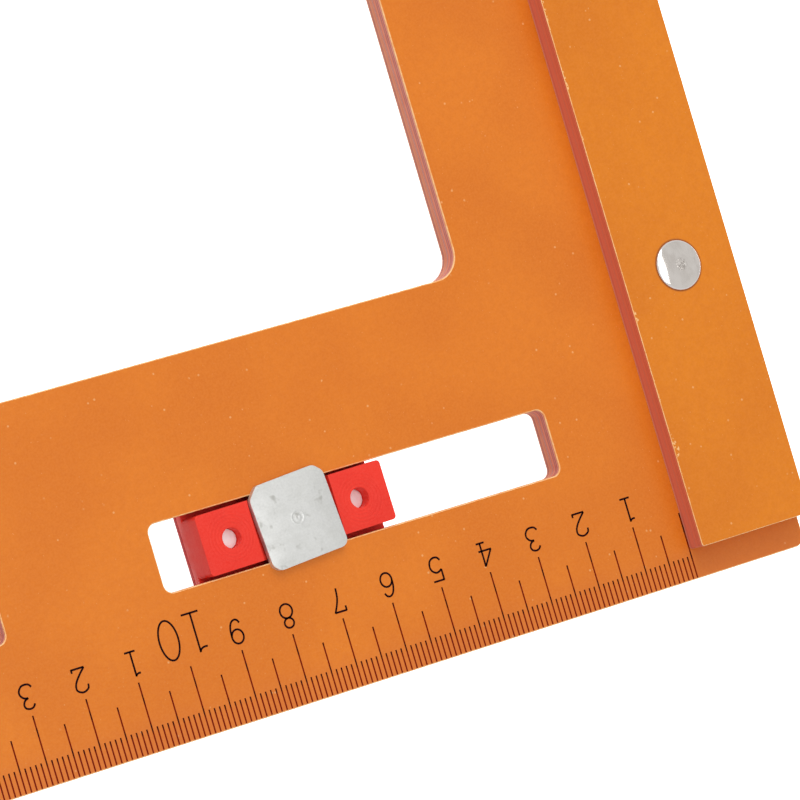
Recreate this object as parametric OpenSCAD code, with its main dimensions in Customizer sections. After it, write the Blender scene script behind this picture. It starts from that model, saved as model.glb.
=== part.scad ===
// Carpenter's L-shaped template square with a riveted fence and sliding clamp stops.
//
// The frame: X runs along the long arm, Y points from the arm to its scale edge,
// Z points up. The origin is the scale's zero, where the fence's inner face, the
// scale edge and the board's top face meet.

/* [Board] */
// thickness of the laminated board
board_t = 4.75; // [3:0.05:8]
// length of the long arm, from the scale's zero
scale_len = 250; // [230:5:400]
// width of the long arm
arm_w = 63.5; // [50:0.5:90]
// distance from the scale edge to the free end of the short arm
leg_len = 200; // [150:5:300]
// distance from the fence's inner face to the short arm's inner edge
leg_x = 28.9; // [24:0.1:40]
// radius of the fillet where the two arms meet
fillet_r = 4.6; // [2:0.1:10]
// radius of the board's outer corners
corner_r = 2; // [1:0.5:6]

/* [Slots] */
// width of both slots
slot_w = 12; // [8:0.1:16]
// distance from the scale edge to the slots' centre line
slot_y = 30.9; // [25:0.1:36]
// length of both slots
slot_len = 79.7; // [60:0.1:90]
// start of the first slot
slot_1_x = 20.8; // [15:0.1:30]
// start of the second slot
slot_2_x = 130.6; // [120:0.1:140]
// radius of the slots' corners
slot_r = 1.6; // [0.5:0.1:4]

/* [Fence] */
// width of the fence strip, which is also how far the board runs behind zero
fence_w = 23.5; // [15:0.5:40]
// thickness of the fence strip
fence_t = 4.5; // [3:0.1:8]
// gap from the scale edge to the end of the fence
fence_gap = 5.4; // [0:0.1:10]
// diameter of the rivets' domed heads
rivet_d = 9; // [6:0.5:12]
// height of the rivets' domed heads
rivet_h = 1.2; // [0.8:0.1:2]

/* [Slider] */
// length of the sliding block
block_len = 36.8; // [30:0.1:45]
// width of the block's tongue, which runs in the slot
tongue_w = 10.65; // [8:0.05:12]
// height of the block's end bosses above the board
boss_h = 0.65; // [0.3:0.05:1.5]
// length of the recess between the end bosses
recess_len = 16.2; // [15.8:0.1:20]
// width of the block's flange under the board
flange_w = 20; // [16:0.5:26]
// thickness of the flange under the board
flange_t = 1.65; // [1:0.05:4]
// thickness of the base plate under the flange
base_t = 1.2; // [0.8:0.1:3]
// distance between the two screws
screw_pitch = 25.5; // [22:0.1:30]
// rest position of the first slider's centre
slider_1_x = 73.4; // [40:0.1:81]
// rest position of the second slider's centre
slider_2_x = 176; // [150:0.1:191]
// how far the first block sits turned in its slot, in degrees
yaw_1 = 0.7; // [-1:0.1:1]
// how far the second block sits turned in its slot, in degrees
yaw_2 = -0.4; // [-1:0.1:1]

/* [Clamp] */
// side of the square clamp plate
plate_w = 15; // [12:0.1:15.2]
// thickness of the clamp plate
plate_t = 1.2; // [0.8:0.1:2]
// how far the first plate is turned, in degrees
plate_yaw_1 = 4; // [-4:0.5:4]
// how far the second plate is turned, in degrees
plate_yaw_2 = -2.5; // [-4:0.5:4]
// diameter of the clamp stud
stud_d = 5; // [4:0.5:6]
// diameter of the thumb knob
knob_d = 22; // [18:0.5:23]
// height of the thumb knob's grip
knob_h = 9; // [6:0.5:10]
// number of finger grooves round the knob
groove_n = 10; // [6:1:16]

/* [Hidden] */
$fn = 96;
eps = 0.01;
play = 0.05;
// x and y of the two rivets, a quarter of the fence's length from each end
rivet_x = -fence_w / 2;
rivet_inset = (leg_len - fence_gap) / 4;
rivet_y_a = -fence_gap - rivet_inset - 0.45;
rivet_y_b = -leg_len + rivet_inset;
rivet_shank_r = 2;
rivet_tail_r = 3.4;
rivet_tail_h = 1;
// levels below the board's top face
flange_top = -board_t - play;
flange_bottom = flange_top - flange_t;
base_bottom = flange_bottom - base_t;
washer_t = 1;
washer_bottom = base_bottom - washer_t;
hub_h = 1.4;
grip_top = washer_bottom - hub_h;
grip_bottom = grip_top - knob_h;
nut_t = 4;
nut_af = 8;
nut_bottom = grip_bottom + 0.5;
stud_bottom = nut_bottom + 0.6;
recess_depth = 0.6;
hole_r = 1.8;
screw_r = hole_r - play;
screw_head_r = 3;
screw_head_h = 1.8;
stud_hole_r = stud_d / 2 + 0.2;
// corner cuts of the clamp plate, anticlockwise from the +X +Y corner
plate_cuts = [1.2, 0.8, 1.5, 2.0];

// A rectangle from [x0, y0] to [x1, y1] with round corners.
module round_rect(x0, y0, x1, y1, r) {
    translate([x0 + r, y0])
        square([x1 - x0 - 2 * r, y1 - y0]);
    translate([x0, y0 + r])
        square([x1 - x0, y1 - y0 - 2 * r]);
    for (x = [x0 + r, x1 - r], y = [y0 + r, y1 - r])
        translate([x, y])
            circle(r = r);
}

// The fillet in the inner corner of the two arms.
module inner_fillet() {
    difference() {
        translate([leg_x - 1, -arm_w - fillet_r])
            square([fillet_r + 1, fillet_r + 1]);
        translate([leg_x + fillet_r, -arm_w - fillet_r])
            circle(r = fillet_r);
    }
}

module slot(x) {
    round_rect(x, -slot_y - slot_w / 2, x + slot_len, -slot_y + slot_w / 2, slot_r);
}

module rivet_bores(low, high) {
    for (y = [rivet_y_a, rivet_y_b])
        translate([rivet_x, y, low])
            cylinder(r = rivet_shank_r + play, h = high - low);
}

module square_board() {
    color([0.87, 0.49, 0.21])
    difference() {
        translate([0, 0, -board_t])
        linear_extrude(board_t)
        difference() {
            union() {
                round_rect(-fence_w, -arm_w, scale_len, 0, corner_r);
                round_rect(-fence_w, -leg_len, leg_x, 0, corner_r);
                inner_fillet();
            }
            slot(slot_1_x);
            slot(slot_2_x);
        }
        rivet_bores(-board_t - 1, 1);
    }
}

module fence_strip() {
    color([0.88, 0.51, 0.19])
    difference() {
        linear_extrude(fence_t)
            round_rect(-fence_w, -leg_len, 0, -fence_gap, 0.5);
        rivet_bores(-1, fence_t + 1);
    }
}

// A domed rivet through the fence and the board, with a flat tail underneath.
module rivet(y) {
    rim = 0.2;
    cap = rivet_h - rim;
    dome_r = (pow(rivet_d / 2, 2) + cap * cap) / (2 * cap);
    color([0.75, 0.74, 0.72])
    translate([rivet_x, y, 0]) {
        translate([0, 0, fence_t])
            cylinder(d = rivet_d, h = rim);
        intersection() {
            translate([0, 0, fence_t + rim / 2])
                cylinder(d = rivet_d, h = rivet_h);
            translate([0, 0, fence_t + rivet_h - dome_r])
                sphere(r = dome_r);
        }
        translate([0, 0, -board_t - eps])
            cylinder(r = rivet_shank_r, h = board_t + fence_t + 2 * eps);
        translate([0, 0, -board_t - rivet_tail_h])
            cylinder(r = rivet_tail_r, h = rivet_tail_h);
    }
}

module fence_rivet_a() {
    rivet(rivet_y_a);
}

module fence_rivet_b() {
    rivet(rivet_y_b);
}

// Puts a slider's piece at its place along the arm.
module at_slider(x, yaw) {
    translate([x, -slot_y - 0.1, 0])
        rotate([0, 0, yaw])
            children();
}

// The block: a tongue in the slot, two end bosses and a flange under the board.
module slide_block(x, yaw) {
    half = block_len / 2;
    color([0.91, 0.27, 0.24])
    at_slider(x, yaw)
    difference() {
        union() {
            translate([0, 0, flange_top - eps])
                linear_extrude(boss_h - flange_top + eps)
                    round_rect(-half, -tongue_w / 2, half, tongue_w / 2, 0.7);
            translate([0, 0, flange_bottom])
                linear_extrude(flange_t)
                    round_rect(-half, -flange_w / 2, half, flange_w / 2, 0.7);
        }
        translate([-recess_len / 2, -tongue_w, -recess_depth])
            cube([recess_len, 2 * tongue_w, boss_h + recess_depth + 1]);
        translate([0, 0, flange_bottom - 1])
            cylinder(r = stud_hole_r, h = 12);
        for (s = [-1, 1])
            translate([s * screw_pitch / 2, 0, flange_bottom - 1])
                cylinder(r = hole_r, h = 12);
    }
}

// The thin plate screwed under the flange, which takes the knob's pressure.
module base_plate(x, yaw) {
    half = block_len / 2;
    color([0.78, 0.22, 0.22])
    at_slider(x, yaw)
    difference() {
        translate([0, 0, base_bottom])
            linear_extrude(base_t)
                round_rect(-half, -flange_w / 2, half, flange_w / 2, 0.7);
        translate([0, 0, base_bottom - 1])
            cylinder(r = stud_hole_r, h = base_t + 2);
        for (s = [-1, 1])
            translate([s * screw_pitch / 2, 0, base_bottom - 1])
                cylinder(r = hole_r, h = base_t + 2);
    }
}

// The two screws of one slider, put in from below.
module base_screws(x, yaw) {
    tips = [-1.85, -1.25];
    color([0.8, 0.77, 0.77])
    at_slider(x, yaw)
    for (i = [0, 1])
        translate([(2 * i - 1) * screw_pitch / 2, 0, 0])
        difference() {
            union() {
                translate([0, 0, base_bottom - eps])
                    cylinder(r = screw_r, h = tips[i] - base_bottom + eps);
                translate([0, 0, base_bottom - screw_head_h])
                    cylinder(r = screw_head_r, h = screw_head_h);
            }
            translate([-0.4, -4, base_bottom - screw_head_h - 1])
                cube([0.8, 8, 1.8]);
        }
}

// The square clamp plate, with its corners cut by different amounts.
module clamp_plate(x, yaw) {
    h = plate_w / 2;
    c = plate_cuts;
    outline = [
        [h, h - c[0]], [h - c[0], h],
        [-h + c[1], h], [-h, h - c[1]],
        [-h, -h + c[2]], [-h + c[2], -h],
        [h - c[3], -h], [h, -h + c[3]]
    ];
    color([0.84, 0.84, 0.83])
    at_slider(x, yaw)
    difference() {
        linear_extrude(plate_t)
            polygon(outline);
        translate([0, 0, plate_t + 5.5])
            sphere(r = 5.65);
    }
}

module clamp_stud(x) {
    color([0.72, 0.72, 0.72])
    at_slider(x, 0)
    translate([0, 0, stud_bottom])
        cylinder(d = stud_d, h = -stud_bottom);
}

module knob_washer(x) {
    color([0.7, 0.7, 0.7])
    at_slider(x, 0)
    difference() {
        translate([0, 0, washer_bottom])
            cylinder(r = 6, h = washer_t);
        translate([0, 0, washer_bottom - 1])
            cylinder(r = stud_hole_r, h = washer_t + 2);
    }
}

module knob_nut(x) {
    color([0.75, 0.75, 0.74])
    at_slider(x, 0)
    difference() {
        translate([0, 0, nut_bottom])
            cylinder(d = nut_af / cos(30), h = nut_t, $fn = 6);
        translate([0, 0, nut_bottom - 1])
            cylinder(r = stud_d / 2 + play, h = nut_t + 2);
    }
}

// The grooved thumb knob, with a hub on top and a hexagon pocket for the nut.
module thumb_knob(x) {
    color([0.08, 0.08, 0.09])
    at_slider(x, 0)
    difference() {
        union() {
            translate([0, 0, grip_bottom])
                cylinder(d = knob_d, h = knob_h);
            translate([0, 0, grip_top - eps])
                cylinder(r = 6.5, h = hub_h + eps);
        }
        for (i = [0 : groove_n - 1])
            rotate([0, 0, i * 360 / groove_n])
                translate([knob_d / 2 + 1, 0, grip_bottom - 1])
                    cylinder(r = 2.1, h = knob_h + 2, $fn = 48);
        translate([0, 0, grip_bottom - 1])
            cylinder(r = stud_hole_r, h = knob_h + hub_h + 2);
        translate([0, 0, grip_bottom - 1])
            cylinder(d = (nut_af + 0.1) / cos(30), h = nut_t + 1.5, $fn = 6);
    }
}

square_board();
fence_strip();
fence_rivet_a();
fence_rivet_b();
slide_block(slider_1_x, yaw_1);  // slide_block_1
base_plate(slider_1_x, yaw_1);  // base_plate_1
base_screws(slider_1_x, yaw_1);  // base_screws_1
clamp_plate(slider_1_x, plate_yaw_1);  // clamp_plate_1
clamp_stud(slider_1_x);  // clamp_stud_1
knob_washer(slider_1_x);  // knob_washer_1
knob_nut(slider_1_x);  // knob_nut_1
thumb_knob(slider_1_x);  // thumb_knob_1
slide_block(slider_2_x, yaw_2);  // slide_block_2
base_plate(slider_2_x, yaw_2);  // base_plate_2
base_screws(slider_2_x, yaw_2);  // base_screws_2
clamp_plate(slider_2_x, plate_yaw_2);  // clamp_plate_2
clamp_stud(slider_2_x);  // clamp_stud_2
knob_washer(slider_2_x);  // knob_washer_2
knob_nut(slider_2_x);  // knob_nut_2
thumb_knob(slider_2_x);  // thumb_knob_2
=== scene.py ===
import math

import bmesh
import bpy
from mathutils import Matrix, Vector


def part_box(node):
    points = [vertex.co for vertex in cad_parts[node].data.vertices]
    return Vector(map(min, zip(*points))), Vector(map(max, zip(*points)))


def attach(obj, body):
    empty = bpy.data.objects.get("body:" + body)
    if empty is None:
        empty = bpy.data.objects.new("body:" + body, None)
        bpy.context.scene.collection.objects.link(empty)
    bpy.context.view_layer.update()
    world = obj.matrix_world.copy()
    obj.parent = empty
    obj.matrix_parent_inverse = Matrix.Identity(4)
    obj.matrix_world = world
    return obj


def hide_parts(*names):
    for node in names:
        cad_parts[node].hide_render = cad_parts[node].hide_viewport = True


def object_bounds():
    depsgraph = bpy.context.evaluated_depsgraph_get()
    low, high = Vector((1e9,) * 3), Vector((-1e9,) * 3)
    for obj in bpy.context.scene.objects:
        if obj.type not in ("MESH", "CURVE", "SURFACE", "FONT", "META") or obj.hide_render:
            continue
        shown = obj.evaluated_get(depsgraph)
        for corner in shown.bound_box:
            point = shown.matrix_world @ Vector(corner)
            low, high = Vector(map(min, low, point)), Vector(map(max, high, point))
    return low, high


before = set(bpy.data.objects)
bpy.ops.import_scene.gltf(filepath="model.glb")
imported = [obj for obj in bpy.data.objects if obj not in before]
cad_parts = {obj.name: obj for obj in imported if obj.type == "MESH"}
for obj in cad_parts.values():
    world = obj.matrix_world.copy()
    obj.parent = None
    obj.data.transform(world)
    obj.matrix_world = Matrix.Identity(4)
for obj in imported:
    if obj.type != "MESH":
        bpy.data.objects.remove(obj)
cad_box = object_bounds()

MM = 0.001


def srgb(r, g, b):
    """A colour given as 0 to 255 screen values, in the linear numbers a shader takes."""
    def linear(c):
        c = c / 255
        return c / 12.92 if c <= 0.04045 else ((c + 0.055) / 1.055) ** 2.4
    return (linear(r), linear(g), linear(b), 1.0)


PALE_RESIN = srgb(236, 146, 62)
CHIPPED_RESIN = srgb(250, 196, 132)

# In degrees: a bevel rounds edges above the first, and cleaning joins faces below the second.
SHARP_EDGE = 32
FLAT_FACES = 0.3

# Rim widths of the flat laminate parts. Outlines narrower than the bore limit get no rim.
RIMS = {"square_board": 0.2 * MM, "fence_strip": 0.12 * MM}
RIM_TURNS = (90, 60, 30, 0)
BORE_LIMIT = 6 * MM

# A clamp plate: the radius cut out for its weld mark, the distance from the middle beyond
# which an upright edge is a corner, and the size of the corners' rounding.
WELD_CUT = 2.4 * MM
CORNERS_FROM = 6 * MM
PLATE_CORNER = 0.55 * MM

# The painted shadow ring on the fence round a rivet's head, as radii.
RIVET_SHADOW_INNER = 4.55 * MM
RIVET_SHADOW_OUTER = 4.95 * MM

# The turned rings round a red block's screw hole: where they fade out, and their spacing.
RINGS_INNER = 4.2 * MM
RINGS_OUTER = 4.9 * MM
RING_PITCH = 0.62 * MM

# A base screw's head, as a radius, and the length of its tip, painted near-white as painted light
# in the screw hole.
SCREW_HEAD = 3.0 * MM
SCREW_TIP = 1.5 * MM

# Lengths of the scale's divisions, by the number of millimetres they mark off.
TICK_LENGTHS = {1: 4.3 * MM, 5: 9.3 * MM, 10: 12.2 * MM}


# ---------------------------------------------------------------- node helpers

class Shader:
    """A material under construction, with short names for the nodes used here."""

    def __init__(self, name):
        """Starts a material with a Principled surface."""
        self.material = bpy.data.materials.new(name)
        self.material.use_nodes = True
        self.tree = self.material.node_tree
        self.tree.nodes.clear()
        self.surface = self.tree.nodes.new("ShaderNodeBsdfPrincipled")
        output = self.tree.nodes.new("ShaderNodeOutputMaterial")
        self.link(self.surface.outputs[0], output.inputs["Surface"])
        self.coord = self.tree.nodes.new("ShaderNodeTexCoord").outputs["Object"]
        self.geometry = self.tree.nodes.new("ShaderNodeNewGeometry")

    def link(self, a, b):
        """Connects an output to an input."""
        self.tree.links.new(a, b)

    def feed(self, socket, value):
        """Connects a socket to another's output, or sets its constant."""
        if isinstance(value, bpy.types.NodeSocket):
            self.link(value, socket)
        else:
            socket.default_value = value

    def set(self, **values):
        """Sets the surface's inputs: underscores stand for the spaces in their names."""
        for name, value in values.items():
            self.feed(self.surface.inputs[name.replace("_", " ")], value)

    def stretched(self, scale):
        """Object coordinates, scaled along each axis."""
        node = self.tree.nodes.new("ShaderNodeMapping")
        self.link(self.coord, node.inputs["Vector"])
        node.inputs["Scale"].default_value = scale
        return node.outputs[0]

    def noise(self, size, detail=3.0, rough=0.55, stretch=(1, 1, 1), distortion=0.0):
        """Noise whose cells are about size metres across."""
        node = self.tree.nodes.new("ShaderNodeTexNoise")
        self.feed(node.inputs["Vector"], self.stretched(stretch))
        node.inputs["Scale"].default_value = 1 / size
        node.inputs["Detail"].default_value = detail
        node.inputs["Roughness"].default_value = rough
        node.inputs["Distortion"].default_value = distortion
        return node.outputs["Fac"]

    def spots(self, size):
        """Distance to the nearest of points scattered about size metres apart."""
        node = self.tree.nodes.new("ShaderNodeTexVoronoi")
        self.feed(node.inputs["Vector"], self.stretched((1, 1, 1)))
        node.inputs["Scale"].default_value = 1 / size
        return node.outputs["Distance"]

    def math(self, operation, a, b=0.0, clamp=False):
        """One arithmetic step on two values."""
        node = self.tree.nodes.new("ShaderNodeMath")
        node.operation = operation
        node.use_clamp = clamp
        self.feed(node.inputs[0], a)
        self.feed(node.inputs[1], b)
        return node.outputs[0]

    def ramp(self, value, low, high, to_low=0.0, to_high=1.0):
        """value from low to high becomes to_low to to_high, smoothly and clamped."""
        node = self.tree.nodes.new("ShaderNodeMapRange")
        node.interpolation_type = "SMOOTHSTEP"
        self.feed(node.inputs["Value"], value)
        node.inputs["From Min"].default_value = low
        node.inputs["From Max"].default_value = high
        node.inputs["To Min"].default_value = to_low
        node.inputs["To Max"].default_value = to_high
        return node.outputs[0]

    def span(self, value, low, high):
        """value from low to high becomes 0 to 1, in a straight line."""
        node = self.tree.nodes.new("ShaderNodeMapRange")
        self.feed(node.inputs["Value"], value)
        node.inputs["From Min"].default_value = low
        node.inputs["From Max"].default_value = high
        return node.outputs[0]

    def line_noise(self, value, scale, detail):
        """Noise along one number, such as a height, for uneven parallel layers."""
        node = self.tree.nodes.new("ShaderNodeTexNoise")
        node.noise_dimensions = "1D"
        self.feed(node.inputs["W"], value)
        node.inputs["Scale"].default_value = scale
        node.inputs["Detail"].default_value = detail
        return node.outputs["Fac"]

    def mix(self, amount, a, b):
        """Colour a at amount 0, colour b at amount 1."""
        node = self.tree.nodes.new("ShaderNodeMix")
        node.data_type = "RGBA"
        self.feed(node.inputs[0], amount)
        self.feed(node.inputs[6], a)
        self.feed(node.inputs[7], b)
        return node.outputs[2]

    def axis(self, vector, name):
        """One component of a vector: "X", "Y" or "Z"."""
        node = self.tree.nodes.new("ShaderNodeSeparateXYZ")
        self.feed(node.inputs[0], vector)
        return node.outputs[name]

    def bump(self, *layers):
        """Each layer is (height, depth in metres); later layers add to earlier ones."""
        normal = None
        for height, depth in layers:
            node = self.tree.nodes.new("ShaderNodeBump")
            node.inputs["Distance"].default_value = depth
            self.feed(node.inputs["Height"], height)
            if normal:
                self.link(normal, node.inputs["Normal"])
            normal = node.outputs[0]
        self.link(normal, self.surface.inputs["Normal"])


# ------------------------------------------------------------------- materials

def laminate(name, face, deep, low_wall, high_wall, top, bottom, stripes=1.0, chipped_x=None,
             rivet_shadows=(), edge_shade=False):
    """Satin resin laminate: mottled faces and cut edges that show the plies."""
    s = Shader(name)
    up = s.math("ABSOLUTE", s.axis(s.geometry.outputs["True Normal"], "Z"))
    height = s.axis(s.coord, "Z")

    cloud = s.ramp(s.noise(30 * MM, 2.0), 0.35, 0.65)
    mottle = s.ramp(s.noise(1.3 * MM, 4.0, 0.65), 0.32, 0.68)
    grain = s.ramp(s.noise(0.42 * MM, 2.0, 0.6), 0.35, 0.65)
    colour = s.mix(s.math("MULTIPLY", cloud, 0.45), face, deep)
    colour = s.mix(s.math("MULTIPLY", mottle, 0.30), colour, deep)
    colour = s.mix(s.math("MULTIPLY", grain, 0.16), colour, PALE_RESIN)
    colour = s.mix(specks(s, 0.9 * MM, 0.3), colour, CHIPPED_RESIN)
    colour = s.mix(specks(s, 2.3 * MM, 0.45), colour, CHIPPED_RESIN)
    # Painted shade: the board's top is darkened towards the scale edge.
    if edge_shade:
        edge_shade_amount = s.ramp(s.axis(s.coord, "Y"), -8 * MM, 0.0, 0.0, 0.3)
        colour = s.mix(edge_shade_amount, colour, srgb(198, 100, 56))
    if chipped_x is not None:
        inward = s.math("ABSOLUTE", s.math("SUBTRACT", s.axis(s.coord, "X"), chipped_x))
        reach = s.ramp(s.noise(7 * MM, 2.0), 0.52, 0.75, 0.0, 1.1 * MM)
        near = s.ramp(s.math("SUBTRACT", inward, reach), 0.0, 0.15 * MM, 1.0, 0.0)
        flake = s.ramp(s.noise(0.55 * MM, 2.0, 0.7), 0.53, 0.6)
        colour = s.mix(s.math("MULTIPLY", near, flake), colour, CHIPPED_RESIN)

    # Painted shadow: a dark ring on the fence round each rivet's head.
    for middle in rivet_shadows:
        radius = distance(s, s.axis(s.coord, "X"), s.axis(s.coord, "Y"), middle)
        shade = s.ramp(radius, RIVET_SHADOW_INNER, RIVET_SHADOW_OUTER, 0.75, 0.0)
        colour = s.mix(shade, colour, srgb(120, 52, 20))

    level = s.span(height, bottom, top)
    drift = s.math("MULTIPLY", s.noise(14 * MM, 2.0, 0.5, (1, 1, 3)), 0.035)
    depth = s.math("ADD", level, drift)
    plies = s.line_noise(depth, 9.0, 1.0)
    dark = s.ramp(plies, 0.47, 0.57)
    light = s.ramp(s.line_noise(depth, 15.0, 1.0), 0.55, 0.65)
    grit = s.ramp(s.noise(0.6 * MM, 3.0, 0.6, (1, 1, 3)), 0.3, 0.75)
    wall = s.mix(level, low_wall, high_wall)
    wall = s.mix(s.math("MULTIPLY", dark, 0.75 * stripes), wall, srgb(158, 72, 80))
    wall = s.mix(s.math("MULTIPLY", light, 0.7 * stripes), wall, srgb(242, 180, 160))
    wall = s.mix(s.math("MULTIPLY", grit, 0.22), wall, srgb(230, 146, 108))
    # Painted reflection: a pale band along the foot of each cut wall.
    foot_glint = s.ramp(s.math("SUBTRACT", height, bottom), 0.15 * MM, 0.42 * MM, 1.0, 0.0)
    wall = s.mix(s.math("MULTIPLY", foot_glint, 0.7), wall, srgb(226, 168, 150))
    side = s.ramp(up, 0.10, 0.35, 1.0, 0.0)
    colour = s.mix(side, colour, wall)

    s.set(Base_Color=colour, IOR=1.45)
    rough = s.ramp(s.noise(1.4 * MM, 3.0), 0.3, 0.7, 0.34, 0.46)
    s.set(Roughness=s.math("ADD", rough, s.math("MULTIPLY", side, 0.18)))
    s.bump(
        (s.noise(0.3 * MM, 3.0, 0.6), 0.012 * MM),
        (s.math("MULTIPLY", plies, side), 0.03 * MM),
    )
    return s.material


def laminate_rim_glow(name):
    """The thin chamfer left on a cut laminate edge: pale chipped resin, painted brighter still as a
    highlight of light glowing through the translucent edge.
    """
    s = Shader(name)
    chips_and_glow = s.ramp(s.noise(1.8 * MM, 3.0, 0.6), 0.38, 0.62)
    wear_and_glow = s.ramp(s.noise(0.5 * MM, 3.0, 0.6), 0.4, 0.7)
    # Painted highlight: these pale colours add the glow of light through the edge to its real
    # chipping.
    colour = s.mix(chips_and_glow, srgb(246, 172, 98), srgb(255, 203, 138))
    colour = s.mix(s.math("MULTIPLY", wear_and_glow, 0.5), colour, srgb(255, 216, 166))
    s.set(Base_Color=colour, Roughness=s.ramp(wear_and_glow, 0, 1, 0.4, 0.6))
    s.bump((wear_and_glow, 0.02 * MM))
    return s.material


def specks(s, spacing, strength):
    """Small pale points scattered through the resin."""
    near = s.ramp(s.spots(spacing), 0.06, 0.11, 1.0, 0.0)
    chance = s.ramp(s.noise(spacing * 2.3, 1.0), 0.46, 0.58)
    return s.math("MULTIPLY", s.math("MULTIPLY", near, chance), strength)


def red_plastic(name, base, shade, hole_x=(), hole_y=0.0):
    """Moulded red plastic with faint turned rings round its holes."""
    s = Shader(name)
    cloud = s.ramp(s.noise(6 * MM, 3.0), 0.3, 0.7)
    grain = s.ramp(s.noise(0.35 * MM, 3.0, 0.6), 0.3, 0.7)
    colour = s.mix(s.math("MULTIPLY", cloud, 0.3), base, shade)
    colour = s.mix(s.math("MULTIPLY", grain, 0.12), colour, srgb(255, 112, 96))
    rings = None
    x = s.axis(s.coord, "X")
    y = s.axis(s.coord, "Y")
    for centre in hole_x:
        radius = distance(s, x, y, (centre, hole_y))
        wave = s.math("SINE", s.math("MULTIPLY", radius, 2 * math.pi / RING_PITCH))
        near = s.ramp(radius, RINGS_INNER, RINGS_OUTER, 1.0, 0.0)
        ring = s.math("MULTIPLY", wave, near)
        rings = ring if rings is None else s.math("ADD", rings, ring)
    layers = [(s.noise(0.3 * MM, 3.0, 0.6), 0.012 * MM)]
    if rings is not None:
        layers.append((rings, 0.018 * MM))
        colour = s.mix(s.math("MULTIPLY", rings, 0.10, clamp=True), colour, shade)
    s.set(Base_Color=colour, IOR=1.3)
    s.set(Roughness=s.ramp(s.noise(1.1 * MM, 3.0), 0.3, 0.7, 0.42, 0.56))
    s.bump(*layers)
    return s.material


def metal(name, base, shade, rough=(0.3, 0.45), patch=3.0, grain=0.4, clouds=0.6,
          dents=1.0, stains=0.0, painted_light_above=None):
    """Plated or rolled metal: cloudy patches, fine grain and hairline scratches."""
    s = Shader(name)
    cloud = s.ramp(s.noise(patch * MM, 4.0, 0.6, distortion=0.4), 0.32, 0.72)
    spangle = s.ramp(s.noise(grain * MM, 3.0, 0.6), 0.3, 0.7)
    hair = s.ramp(s.noise(0.3 * MM, 2.0, 0.5, (0.06, 1, 1)), 0.3, 0.75)
    colour = s.mix(s.math("MULTIPLY", cloud, clouds), base, shade)
    colour = s.mix(s.math("MULTIPLY", spangle, 0.25), colour, shade)
    if stains:
        stain = s.ramp(s.noise(1.9 * MM, 2.0, 0.5), 0.60, 0.76, 0.0, stains)
        colour = s.mix(stain, colour, srgb(168, 166, 156))
    # Painted light: above the given height the metal turns near-white, faintly cyan and less
    # metallic, to brighten the screw tips seen in the holes.
    if painted_light_above is not None:
        pale = s.ramp(s.axis(s.coord, "Z"), painted_light_above - 0.5 * MM, painted_light_above)
        colour = s.mix(pale, colour, srgb(250, 255, 255))
        s.set(Metallic=s.ramp(pale, 0, 1, 1.0, 0.1))
    else:
        s.set(Metallic=1.0)
    s.set(Base_Color=colour)
    low, high = rough
    s.set(Roughness=s.ramp(s.math("ADD", cloud, s.math("MULTIPLY", hair, 0.5)), 0, 1.5, low, high))
    s.bump((spangle, 0.006 * dents * MM), (hair, 0.004 * dents * MM))
    return s.material


def stamped_rivet(name, middles):
    """Bright nickel plating with a bruised spot where each head was stamped, and a painted
    reflection as a bright ring round each head's edge.
    """
    s = Shader(name)
    x, y = s.axis(s.coord, "X"), s.axis(s.coord, "Y")
    bruise, ring = 0.0, 0.0
    for middle in middles:
        radius = distance(s, x, y, middle)
        bruise = s.math("ADD", bruise, s.ramp(radius, 0.6 * MM, 1.4 * MM, 1.0, 0.0))
        ring = s.math("ADD", ring, s.ramp(radius, 4.2 * MM, 4.3 * MM))
    # A term is 0 only on its own rivet's head, so what is left is the edges of the heads, where the
    # painted reflection goes.
    ring = s.math("SUBTRACT", ring, len(middles) - 1.0, clamp=True)
    cloud = s.ramp(s.noise(2.4 * MM, 3.0, 0.6, (1, 0.5, 1), 0.6), 0.35, 0.7)
    pits = s.ramp(s.noise(0.45 * MM, 3.0, 0.7), 0.42, 0.58)
    bruise = s.math("MULTIPLY", bruise, pits)
    colour = s.mix(cloud, srgb(248, 241, 234), srgb(232, 224, 216))
    colour = s.mix(s.math("MULTIPLY", bruise, 0.6), colour, srgb(150, 140, 132))
    colour = s.mix(ring, colour, srgb(255, 252, 250))
    s.set(Base_Color=colour, Metallic=1.0)
    s.set(Roughness=s.math("ADD", s.ramp(cloud, 0, 1, 0.07, 0.13), s.math("MULTIPLY", bruise, 0.3)))
    s.bump((bruise, 0.05 * MM))
    return s.material


def distance(s, x, y, middle):
    """Distance in plan from a point."""
    dx = s.math("SUBTRACT", x, middle[0])
    dy = s.math("SUBTRACT", y, middle[1])
    square = s.math("ADD", s.math("MULTIPLY", dx, dx), s.math("MULTIPLY", dy, dy))
    return s.math("SQRT", square)


def black_plastic(name):
    """Moulded black plastic with a fine spark-eroded grain."""
    s = Shader(name)
    cloud = s.ramp(s.noise(5 * MM, 3.0), 0.3, 0.7)
    grain = s.noise(0.28 * MM, 2.0, 0.5)
    s.set(Base_Color=s.mix(cloud, srgb(30, 30, 32), srgb(44, 43, 44)))
    s.set(Roughness=s.ramp(grain, 0.3, 0.7, 0.42, 0.6), IOR=1.48)
    s.bump((grain, 0.03 * MM), (s.noise(1.2 * MM), 0.01 * MM))
    return s.material


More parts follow.
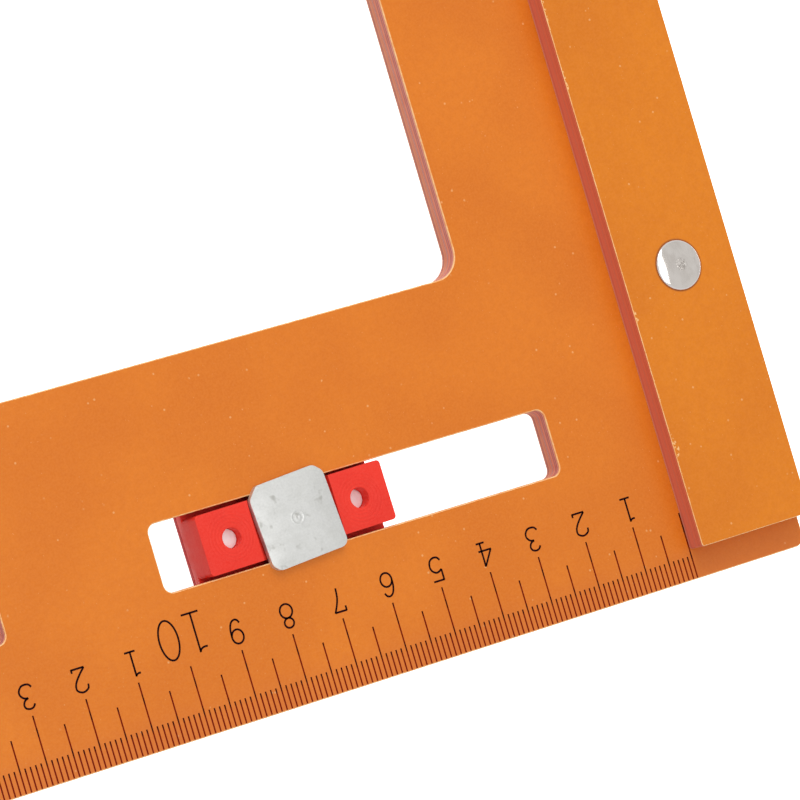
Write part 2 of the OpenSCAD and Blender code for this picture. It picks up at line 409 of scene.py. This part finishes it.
def scale_ink(name):
    """Burnt engraving fill: black figures, and maroon divisions with black tips."""
    s = Shader(name)
    y = s.axis(s.coord, "Y")
    maroon = s.ramp(y, -13.5 * MM, -12.5 * MM)
    for length in TICK_LENGTHS.values():
        from_tip = s.math("ABSOLUTE", s.math("ADD", y, length))
        maroon = s.math("MULTIPLY", maroon, s.ramp(from_tip, 0.4 * MM, 1.2 * MM, 0.25, 1.0))
    speck = s.ramp(s.noise(0.4 * MM, 3.0, 0.6), 0.4, 0.75)
    colour = s.mix(maroon, srgb(14, 0, 10), srgb(118, 22, 6))
    colour = s.mix(s.math("MULTIPLY", speck, 0.25), colour, srgb(120, 34, 8))
    s.set(Base_Color=colour, Roughness=s.ramp(speck, 0, 1, 0.6, 0.75), IOR=1.15)
    s.bump((s.noise(0.2 * MM), 0.008 * MM))
    return s.material


def floor_paper(name):
    """White studio paper, bright enough to lose most of its shadows."""
    s = Shader(name)
    tooth = s.noise(2 * MM, 3.0)
    s.set(Base_Color=s.mix(tooth, (0.93, 0.93, 0.93, 1), (0.96, 0.96, 0.96, 1)))
    s.set(Roughness=s.ramp(tooth, 0.3, 0.7, 0.85, 0.95))
    s.set(Emission_Color=(1, 1, 1, 1), Emission_Strength=1.3)
    s.bump((tooth, 0.02 * MM))
    return s.material


# ---------------------------------------------------------------------- pieces

def add_object(name, mesh, material):
    """A new object in the scene, in one material."""
    piece = bpy.data.objects.new(name, mesh)
    bpy.context.scene.collection.objects.link(piece)
    piece.data.materials.append(material)
    return piece


def cleaned(node):
    """A copy of a CAD node's mesh, with its seams joined and its flat faces whole."""
    work = bmesh.new()
    work.from_mesh(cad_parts[node].data)
    bmesh.ops.remove_doubles(work, verts=work.verts, dist=1e-7)
    bmesh.ops.dissolve_limit(
        work, angle_limit=math.radians(FLAT_FACES), verts=work.verts, edges=work.edges
    )
    bmesh.ops.recalc_face_normals(work, faces=work.faces)
    for face in work.faces:
        face.smooth = True
    mesh = bpy.data.meshes.new(node + "_shape")
    work.to_mesh(mesh)
    work.free()
    return mesh


def outline_loops(work, height):
    """The border loops of the flat top at a height, each with the solid on its left."""
    top = {
        f for f in work.faces
        if f.normal.z > 0.99 and all(abs(v.co.z - height) < 1e-6 for v in f.verts)
    }
    follow = {}
    for face in top:
        for loop in face.loops:
            if not all(f in top for f in loop.edge.link_faces):
                start, end = loop.vert.co, loop.link_loop_next.vert.co
                follow[(start.x, start.y)] = (end.x, end.y)
    loops = []
    while follow:
        here = next(iter(follow))
        loops.append([])
        while here in follow:
            loops[-1].append(here)
            here = follow.pop(here)
    return loops


def inset(loop, width):
    """The loop moved sideways into the solid by a width."""
    moved = []
    for k, (x, y) in enumerate(loop):
        (ax, ay), (bx, by) = loop[k - 1], loop[(k + 1) % len(loop)]
        before = Vector((ay - y, x - ax)).normalized()
        after = Vector((y - by, bx - x)).normalized()
        mitre = (before + after) * width / (1 + before.dot(after))
        moved.append((x + mitre.x, y + mitre.y))
    return moved


def rimmed(node, rim):
    """A flat CAD part's mesh with rounded rims, which take the second material."""
    work = bmesh.new()
    work.from_mesh(cleaned(node))
    low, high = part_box(node)
    loops = outline_loops(work, high.z)
    work.clear()
    lids = [[], []]
    for loop in loops:
        span = max(x for x, y in loop) - min(x for x, y in loop)
        bore = span < BORE_LIMIT
        turns = (0,) if bore else RIM_TURNS
        profile = []
        for turn in turns:
            a = math.radians(turn)
            profile.append((rim * (1 - math.cos(a)), 0 if bore else rim * (1 - math.sin(a))))
        rings = []
        for side, (aside, drop) in [(0, p) for p in profile] + [(1, p) for p in profile[::-1]]:
            z = high.z - drop if side else low.z + drop
            rings.append([work.verts.new((x, y, z)) for x, y in inset(loop, aside)])
        wall = len(profile) - 1
        for level, (a, b) in enumerate(zip(rings, rings[1:])):
            for k in range(len(loop)):
                face = work.faces.new((a[k - 1], a[k], b[k], b[k - 1]))
                face.material_index = 0 if level == wall else 1
                face.smooth = True
            if level == wall:
                for k in range(len(loop)):
                    work.edges.get((a[k - 1], a[k])).smooth = False
                    work.edges.get((b[k - 1], b[k])).smooth = False
        for lid, ring in ((0, rings[0]), (1, rings[-1])):
            lids[lid] += [work.edges.get((ring[k - 1], ring[k])) for k in range(len(ring))]
    for edges in lids:
        bmesh.ops.triangle_fill(work, edges=edges, use_beauty=True)
    bmesh.ops.recalc_face_normals(work, faces=work.faces)
    mesh = bpy.data.meshes.new(node + "_shape")
    work.to_mesh(mesh)
    work.free()
    return mesh


def soften(piece, width, segments):
    """Rounds a piece's sharp edges."""
    bevel = piece.modifiers.new("edges", "BEVEL")
    bevel.width = width
    bevel.segments = segments
    bevel.limit_method = "ANGLE"
    bevel.angle_limit = math.radians(SHARP_EDGE)
    bevel.harden_normals = True
    bevel.use_clamp_overlap = True


def finish_piece(node, body, material, width=0.0, segments=2, mesh=None, rim=None):
    """The visible piece for a CAD node: the same shape with softened edges."""
    piece = add_object(node + "_skin", mesh or cleaned(node), material)
    if rim:
        piece.data.materials.append(rim)
    else:
        soften(piece, width, segments)
    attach(piece, body)
    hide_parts(node)


# The weld mark in a clamp plate's middle: radius and height above the plate, in mm.
WELD_MARK = [
    (2.2, 0), (1.4, 0), (1.28, 0.01), (1.2, 0.04), (1.12, 0.03), (1.02, -0.03), (0.9, -0.06),
    (0.72, -0.06), (0.6, -0.02), (0.46, 0.03), (0.32, 0.04), (0.2, 0.01), (0.07, -0.02),
]


def marked_plate(node):
    """A clamp plate's mesh with the rings of its weld mark on top."""
    mesh = cleaned(node)
    low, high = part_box(node)
    middle = (low + high) / 2
    work = bmesh.new()
    work.from_mesh(mesh)
    upright = [
        e for e in work.edges
        if (e.verts[0].co.xy - e.verts[1].co.xy).length < 1e-6
        and (e.verts[0].co.xy - middle.xy).length > CORNERS_FROM
    ]
    bmesh.ops.bevel(
        work, geom=upright, offset=PLATE_CORNER, segments=4, profile=0.5, affect="EDGES"
    )
    hollow = [v for v in work.verts if (v.co.xy - middle.xy).length < WELD_CUT]
    bmesh.ops.delete(work, geom=hollow, context="VERTS")
    lid = [f for f in work.faces if all(v.co.z > high.z - 0.01 * MM for v in f.verts)]
    bmesh.ops.delete(work, geom=lid, context="FACES_ONLY")
    border = [e for e in work.edges if e.is_boundary]
    steps = 48
    rings = []
    for radius, lift in WELD_MARK:
        ring = []
        for k in range(steps):
            a = 2 * math.pi * k / steps
            x, y = middle.x + radius * MM * math.cos(a), middle.y + radius * MM * math.sin(a)
            ring.append(work.verts.new((x, y, high.z + lift * MM)))
        rings.append(ring)
    outer = [work.edges.new((rings[0][k - 1], rings[0][k])) for k in range(steps)]
    bmesh.ops.triangle_fill(work, edges=border + outer, use_beauty=True)
    for a, b in zip(rings, rings[1:]):
        for k in range(steps):
            work.faces.new((a[k - 1], a[k], b[k], b[k - 1]))
    work.faces.new(rings[-1])
    bmesh.ops.recalc_face_normals(work, faces=work.faces)
    for face in work.faces:
        face.smooth = True
    work.to_mesh(mesh)
    work.free()
    return mesh


board_low, board_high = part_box("square_board")
_, fence_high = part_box("fence_strip")
rivet_middles = []
for name in ("fence_rivet_a", "fence_rivet_b"):
    low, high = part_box(name)
    rivet_middles.append((low + high) / 2)
board_stuff = laminate(
    "board_laminate", srgb(227, 124, 22), srgb(209, 105, 12),
    srgb(226, 134, 78), srgb(228, 104, 76), 0.0, board_low.z,
    edge_shade=True,
)
fence_stuff = laminate(
    "fence_laminate", srgb(226, 128, 8), srgb(208, 109, 4),
    srgb(226, 118, 96), srgb(226, 110, 78), fence_high.z, 0.0,
    stripes=0.3, chipped_x=fence_high.x, rivet_shadows=rivet_middles,
)
rim_glow_stuff = laminate_rim_glow("laminate_rim_glow")
for name, slot, stuff in (
    ("square_board", "board_laminate", board_stuff),
    ("fence_strip", "fence_laminate", fence_stuff),
):
    finish_piece(name, "square", stuff, mesh=rimmed(name, RIMS[name]), rim=rim_glow_stuff)

rivet_stuff = stamped_rivet("rivet_metal", rivet_middles)
for name in ("fence_rivet_a", "fence_rivet_b"):
    finish_piece(name, "square", rivet_stuff, 0.12 * MM, 3)

plate_stuff = metal(
    "plate_steel", srgb(241, 241, 238), srgb(212, 212, 208), (0.55, 0.7), 2.0,
    clouds=0.25, dents=0.6, stains=0.5,
)
stud_stuff = metal("stud_steel", srgb(210, 210, 210), srgb(180, 180, 180), (0.28, 0.4))
washer_stuff = metal("washer_steel", srgb(214, 214, 212), srgb(186, 186, 184))
nut_stuff = metal("nut_steel", srgb(214, 211, 204), srgb(186, 183, 176))
knob_stuff = black_plastic("knob_plastic")
base_stuff = red_plastic("red_base", srgb(198, 24, 30), srgb(178, 16, 24))

for i in (1, 2):
    low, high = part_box(f"slide_block_{i}")
    screw_low, screw_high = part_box(f"base_screws_{i}")
    middle = (low + high) / 2
    reach = (screw_high.x - screw_low.x) / 2 - SCREW_HEAD
    screw_stuff = metal(
        f"screw_steel_{i}", srgb(236, 236, 232), srgb(208, 208, 204), (0.3, 0.45),
        painted_light_above=screw_high.z - SCREW_TIP,
    )
    block_stuff = red_plastic(
        f"red_plastic_{i}",
        srgb(238, 55, 40),
        srgb(224, 42, 34),
        (middle.x - reach, middle.x + reach),
        middle.y,
    )
    slider, clamp, knob = f"slider_{i}", f"clamp_{i}", f"knob_{i}"
    plate = f"clamp_plate_{i}"
    finish_piece(f"slide_block_{i}", slider, block_stuff, 0.22 * MM, 3)
    finish_piece(f"base_plate_{i}", slider, base_stuff, 0.15 * MM)
    finish_piece(f"base_screws_{i}", slider, screw_stuff, 0.15 * MM)
    finish_piece(f"knob_washer_{i}", slider, washer_stuff, 0.12 * MM)
    finish_piece(plate, clamp, plate_stuff, 0.14 * MM, 3, mesh=marked_plate(plate))
    finish_piece(f"clamp_stud_{i}", clamp, stud_stuff, 0.15 * MM)
    finish_piece(f"knob_nut_{i}", knob, nut_stuff, 0.15 * MM)
    finish_piece(f"thumb_knob_{i}", knob, knob_stuff, 0.5 * MM, 3)


# ------------------------------------------------------------------- the scale

INK_TOP = 0.02 * MM
INK_ROOT = -0.02 * MM
TICK_WIDTH = 0.27 * MM
EDGE_SET_BACK = 0.2 * MM
STROKE = 0.34 * MM

# The zero division stands this far out from the fence's face, which would cover half of it.
ZERO_SHIFT = 0.13 * MM

# Where the figures stand, and how much larger the tens are.
SMALL_FOOT = -17.5 * MM
TENS_FOOT = -20.8 * MM
TENS_SIZE = 1.62


def slab(work, outline):
    """A thin closed slab on the board's top face, from an anticlockwise outline."""
    top = [work.verts.new((x, y, INK_TOP)) for x, y in outline]
    root = [work.verts.new((x, y, INK_ROOT)) for x, y in outline]
    work.faces.new(top)
    work.faces.new(root[::-1])
    for i in range(len(outline)):
        j = (i + 1) % len(outline)
        work.faces.new((root[i], root[j], top[j], top[i]))


def arc(cx, cy, rx, ry, start, end, steps=20):
    """Points of an elliptical arc, angles in degrees."""
    turn = [math.radians(start + (end - start) * k / steps) for k in range(steps + 1)]
    return [(cx + rx * math.cos(a), cy + ry * math.sin(a)) for a in turn]


def curve(*points, steps=5):
    """A smooth pen stroke through the points."""
    ends = [points[0], *points, points[-1]]
    path = []
    for a, b, c, d in zip(ends, ends[1:], ends[2:], ends[3:]):
        for k in range(steps):
            t = k / steps
            path.append(tuple(
                0.5 * (2 * q + (r - p) * t + (2 * p - 5 * q + 4 * r - u) * t * t
                       + (3 * q - p - 3 * r + u) * t ** 3)
                for p, q, r, u in zip(a, b, c, d)
            ))
    return path + [points[-1]]


# Each figure is a list of pen strokes, in millimetres from the middle of its foot.
FIGURES = {
    "1": [
        curve((-0.95, 3.8), (-0.5, 3.8), (-0.15, 3.95), (0, 4.2)),
        [(0, 4.25), (0, 0)],
        [(-0.95, 0), (1.05, 0)],
    ],
    "2": [
        curve(
            (-1.2, 2.95), (-1.0, 3.7), (0, 4.12), (0.95, 3.7), (1.08, 2.95), (0.7, 2.1),
            (-0.2, 1.05), (-1.2, 0.1),
        ),
        [(-1.25, 0.05), (1.2, 0.05)],
        [(1.15, -0.05), (1.15, 0.6)],
    ],
    "3": [
        curve(
            (-1.05, 3.45), (-0.65, 3.95), (0, 4.12), (0.7, 3.85), (0.9, 3.25), (0.55, 2.6),
            (-0.15, 2.3),
        ),
        curve(
            (-0.15, 2.3), (0.6, 2.15), (1.15, 1.55), (1.15, 0.8), (0.6, 0.15), (-0.1, 0),
            (-0.8, 0.15), (-1.2, 0.65),
        ),
    ],
    "4": [
        [(0.5, 4.15), (-1.38, 1.4)],
        [(-1.45, 1.4), (1.15, 1.4)],
        [(0.5, 4.2), (0.5, 0)],
        [(-0.4, 0), (1.25, 0)],
    ],
    "5": [
        [(1.15, 4.1), (-1.0, 4.1)],
        [(-0.92, 4.2), (-0.92, 2.2)],
        curve(
            (-0.92, 2.2), (-0.4, 2.55), (0.25, 2.62), (0.95, 2.1), (1.15, 1.3), (0.85, 0.4),
            (0.1, 0), (-0.65, 0.12), (-1.1, 0.65),
        ),
    ],
    "6": [
        curve((0.95, 3.4), (0.6, 3.95), (0.05, 4.12), (-0.6, 3.7), (-1.02, 2.6), (-1.1, 1.3)),
        arc(0.0, 1.22, 1.1, 1.22, 0, 360, 24),
    ],
    "7": [
        [(-1.15, 3.3), (-1.15, 4.2)],
        [(-1.15, 4.1), (1.12, 4.1)],
        curve((1.1, 4.15), (0.45, 2.9), (0.0, 1.7), (-0.2, 0)),
    ],
    "8": [
        arc(0.0, 3.3, 0.9, 0.85, 0, 360, 20),
        arc(0.0, 1.22, 1.18, 1.22, 0, 360, 24),
    ],
    "9": [
        arc(0.0, 2.9, 1.1, 1.22, 0, 360, 24),
        curve((1.1, 2.8), (1.02, 1.5), (0.6, 0.4), (-0.05, 0), (-0.6, 0.15), (-0.95, 0.7)),
    ],
    "0": [arc(0.0, 2.12, 1.1, 2.12, 0, 360, 32)],
}


def ribbon(work, points, width):
    """A pen stroke of even width along the points, as one closed slab."""
    closed = math.dist(points[0], points[-1]) < 1e-9
    path = points[:-1] if closed else points
    count = len(path)
    sides = ([], [])
    for k, (x, y) in enumerate(path):
        before = path[k - 1] if closed or k else (x, y)
        after = path[(k + 1) % count] if closed or k < count - 1 else (x, y)
        dx, dy = after[0] - before[0], after[1] - before[1]
        size = math.hypot(dx, dy)
        nx, ny = -dy / size * width / 2, dx / size * width / 2
        sides[0].append((x + nx, y + ny))
        sides[1].append((x - nx, y - ny))
    links = count if closed else count - 1
    rings = []
    for k in range(count):
        (lx, ly), (rx, ry) = sides[0][k], sides[1][k]
        rings.append([
            work.verts.new((lx, ly, INK_ROOT)),
            work.verts.new((rx, ry, INK_ROOT)),
            work.verts.new((rx, ry, INK_TOP)),
            work.verts.new((lx, ly, INK_TOP)),
        ])
    for k in range(links):
        a, b = rings[k], rings[(k + 1) % count]
        for m in range(4):
            n = (m + 1) % 4
            work.faces.new((a[m], a[n], b[n], b[m]))
    if not closed:
        work.faces.new(rings[0][::-1])
        work.faces.new(rings[-1])


def figure(work, digit, x, foot, size=1.0):
    """One figure, drawn with strokes of the scale's width."""
    for stroke in FIGURES[digit]:
        points = [(x + px * size * MM, foot + py * size * MM) for px, py in stroke]
        ribbon(work, points, STROKE)


def scale_marks():
    """The divisions from zero to the arm's end, and a figure at each centimetre."""
    marks = bmesh.new()
    last = int(round(board_high.x / MM))
    for k in range(last):
        kind = 10 if k % 10 == 0 else 5 if k % 5 == 0 else 1
        length = TICK_LENGTHS[kind]
        x = k * MM + (ZERO_SHIFT if k == 0 else 0)
        w = TICK_WIDTH / 2
        slab(marks, [
            (x - w, -length), (x + w, -length), (x + w, -EDGE_SET_BACK), (x - w, -EDGE_SET_BACK)
        ])
    figures = bmesh.new()
    for cm in range(1, last // 10):
        x = cm * 10 * MM
        if cm % 10:
            figure(figures, str(cm % 10), x, SMALL_FOOT)
        else:
            figure(figures, str(cm // 10), x - 2.6 * MM, TENS_FOOT, TENS_SIZE)
            figure(figures, "0", x + 2.5 * MM, TENS_FOOT, TENS_SIZE)
    ink = scale_ink("scale_ink")
    for name, work in (("scale_divisions", marks), ("scale_figures", figures)):
        bmesh.ops.recalc_face_normals(work, faces=work.faces)
        mesh = bpy.data.meshes.new(name)
        work.to_mesh(mesh)
        work.free()
        piece = add_object(name, mesh, ink)
        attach(piece, "square")


scale_marks()


# --------------------------------------------------- floor, light and camera

FLOOR_HALF = 4.0
FLOOR_GAP = 0.05 * MM

# The camera that was fitted to the photo: sensor and lens in mm, place and axes in metres.
SENSOR = 36
LENS = 216
CAMERA_PLACE = (0.43708, -0.03818, 0.73427)
CAMERA_AHEAD = (-0.46873, -0.00858, -0.8833)
CAMERA_UP = (-0.24681, -0.95886, 0.14029)


def studio():
    """The floor, the world, the two softboxes and the camera."""
    low, _ = cad_box
    half = FLOOR_HALF
    mesh = bpy.data.meshes.new("floor")
    z = low.z - FLOOR_GAP
    mesh.from_pydata(
        [(-half, -half, z), (half, -half, z), (half, half, z), (-half, half, z)],
        [],
        [(0, 1, 2, 3)],
    )
    floor = add_object("studio_floor", mesh, floor_paper("floor_paper"))
    floor.visible_diffuse = False

    world = bpy.data.worlds.new("studio")
    bpy.context.scene.world = world
    world.use_nodes = True
    tree = world.node_tree
    background = tree.nodes["Background"]
    background.inputs["Color"].default_value = (1, 1, 1, 1)
    direction = tree.nodes.new("ShaderNodeTexCoord").outputs["Generated"]
    split = tree.nodes.new("ShaderNodeSeparateXYZ")
    tree.links.new(direction, split.inputs[0])
    dome = tree.nodes.new("ShaderNodeMapRange")
    dome.inputs["From Min"].default_value = -0.3
    dome.inputs["From Max"].default_value = 0.1
    dome.inputs["To Min"].default_value = 0.38
    dome.inputs["To Max"].default_value = 0.62
    tree.links.new(split.outputs["Z"], dome.inputs["Value"])
    tree.links.new(dome.outputs[0], background.inputs["Strength"])

    def softbox(name, place, target, size, power, mirrored=True):
        """A rectangular light whose long side runs along Y when it points down."""
        data = bpy.data.lights.new(name, "AREA")
        data.shape = "RECTANGLE"
        data.size, data.size_y = size
        data.energy = power
        lamp = bpy.data.objects.new(name, data)
        bpy.context.scene.collection.objects.link(lamp)
        lamp.location = place
        aim = Vector(target) - Vector(place)
        lamp.rotation_euler = aim.to_track_quat("-Z", "Y").to_euler()
        lamp.visible_glossy = mirrored

    softbox("overhead", (0.24, -0.3, 1.0), (0.24, -0.3, 0.0), (0.42, 1.8), 4.25)
    softbox("key", (-0.05, -1.0, 0.75), (0.06, -0.06, 0.0), (0.7, 0.7), 4.1, False)

    data = bpy.data.cameras.new("camera")
    data.sensor_width = SENSOR
    data.lens = LENS
    data.clip_start, data.clip_end = 0.01, 20
    camera = bpy.data.objects.new("camera", data)
    bpy.context.scene.collection.objects.link(camera)
    ahead = Vector(CAMERA_AHEAD).normalized()
    up = Vector(CAMERA_UP)
    right = ahead.cross(up).normalized()
    up = right.cross(ahead)
    turn = Matrix((right, up, -ahead)).transposed().to_4x4()
    camera.matrix_world = Matrix.Translation(CAMERA_PLACE) @ turn
    bpy.context.scene.camera = camera
    bpy.context.scene.view_settings.view_transform = "Standard"
    bpy.context.scene.view_settings.look = "None"


studio()

bpy.context.view_layer.update()
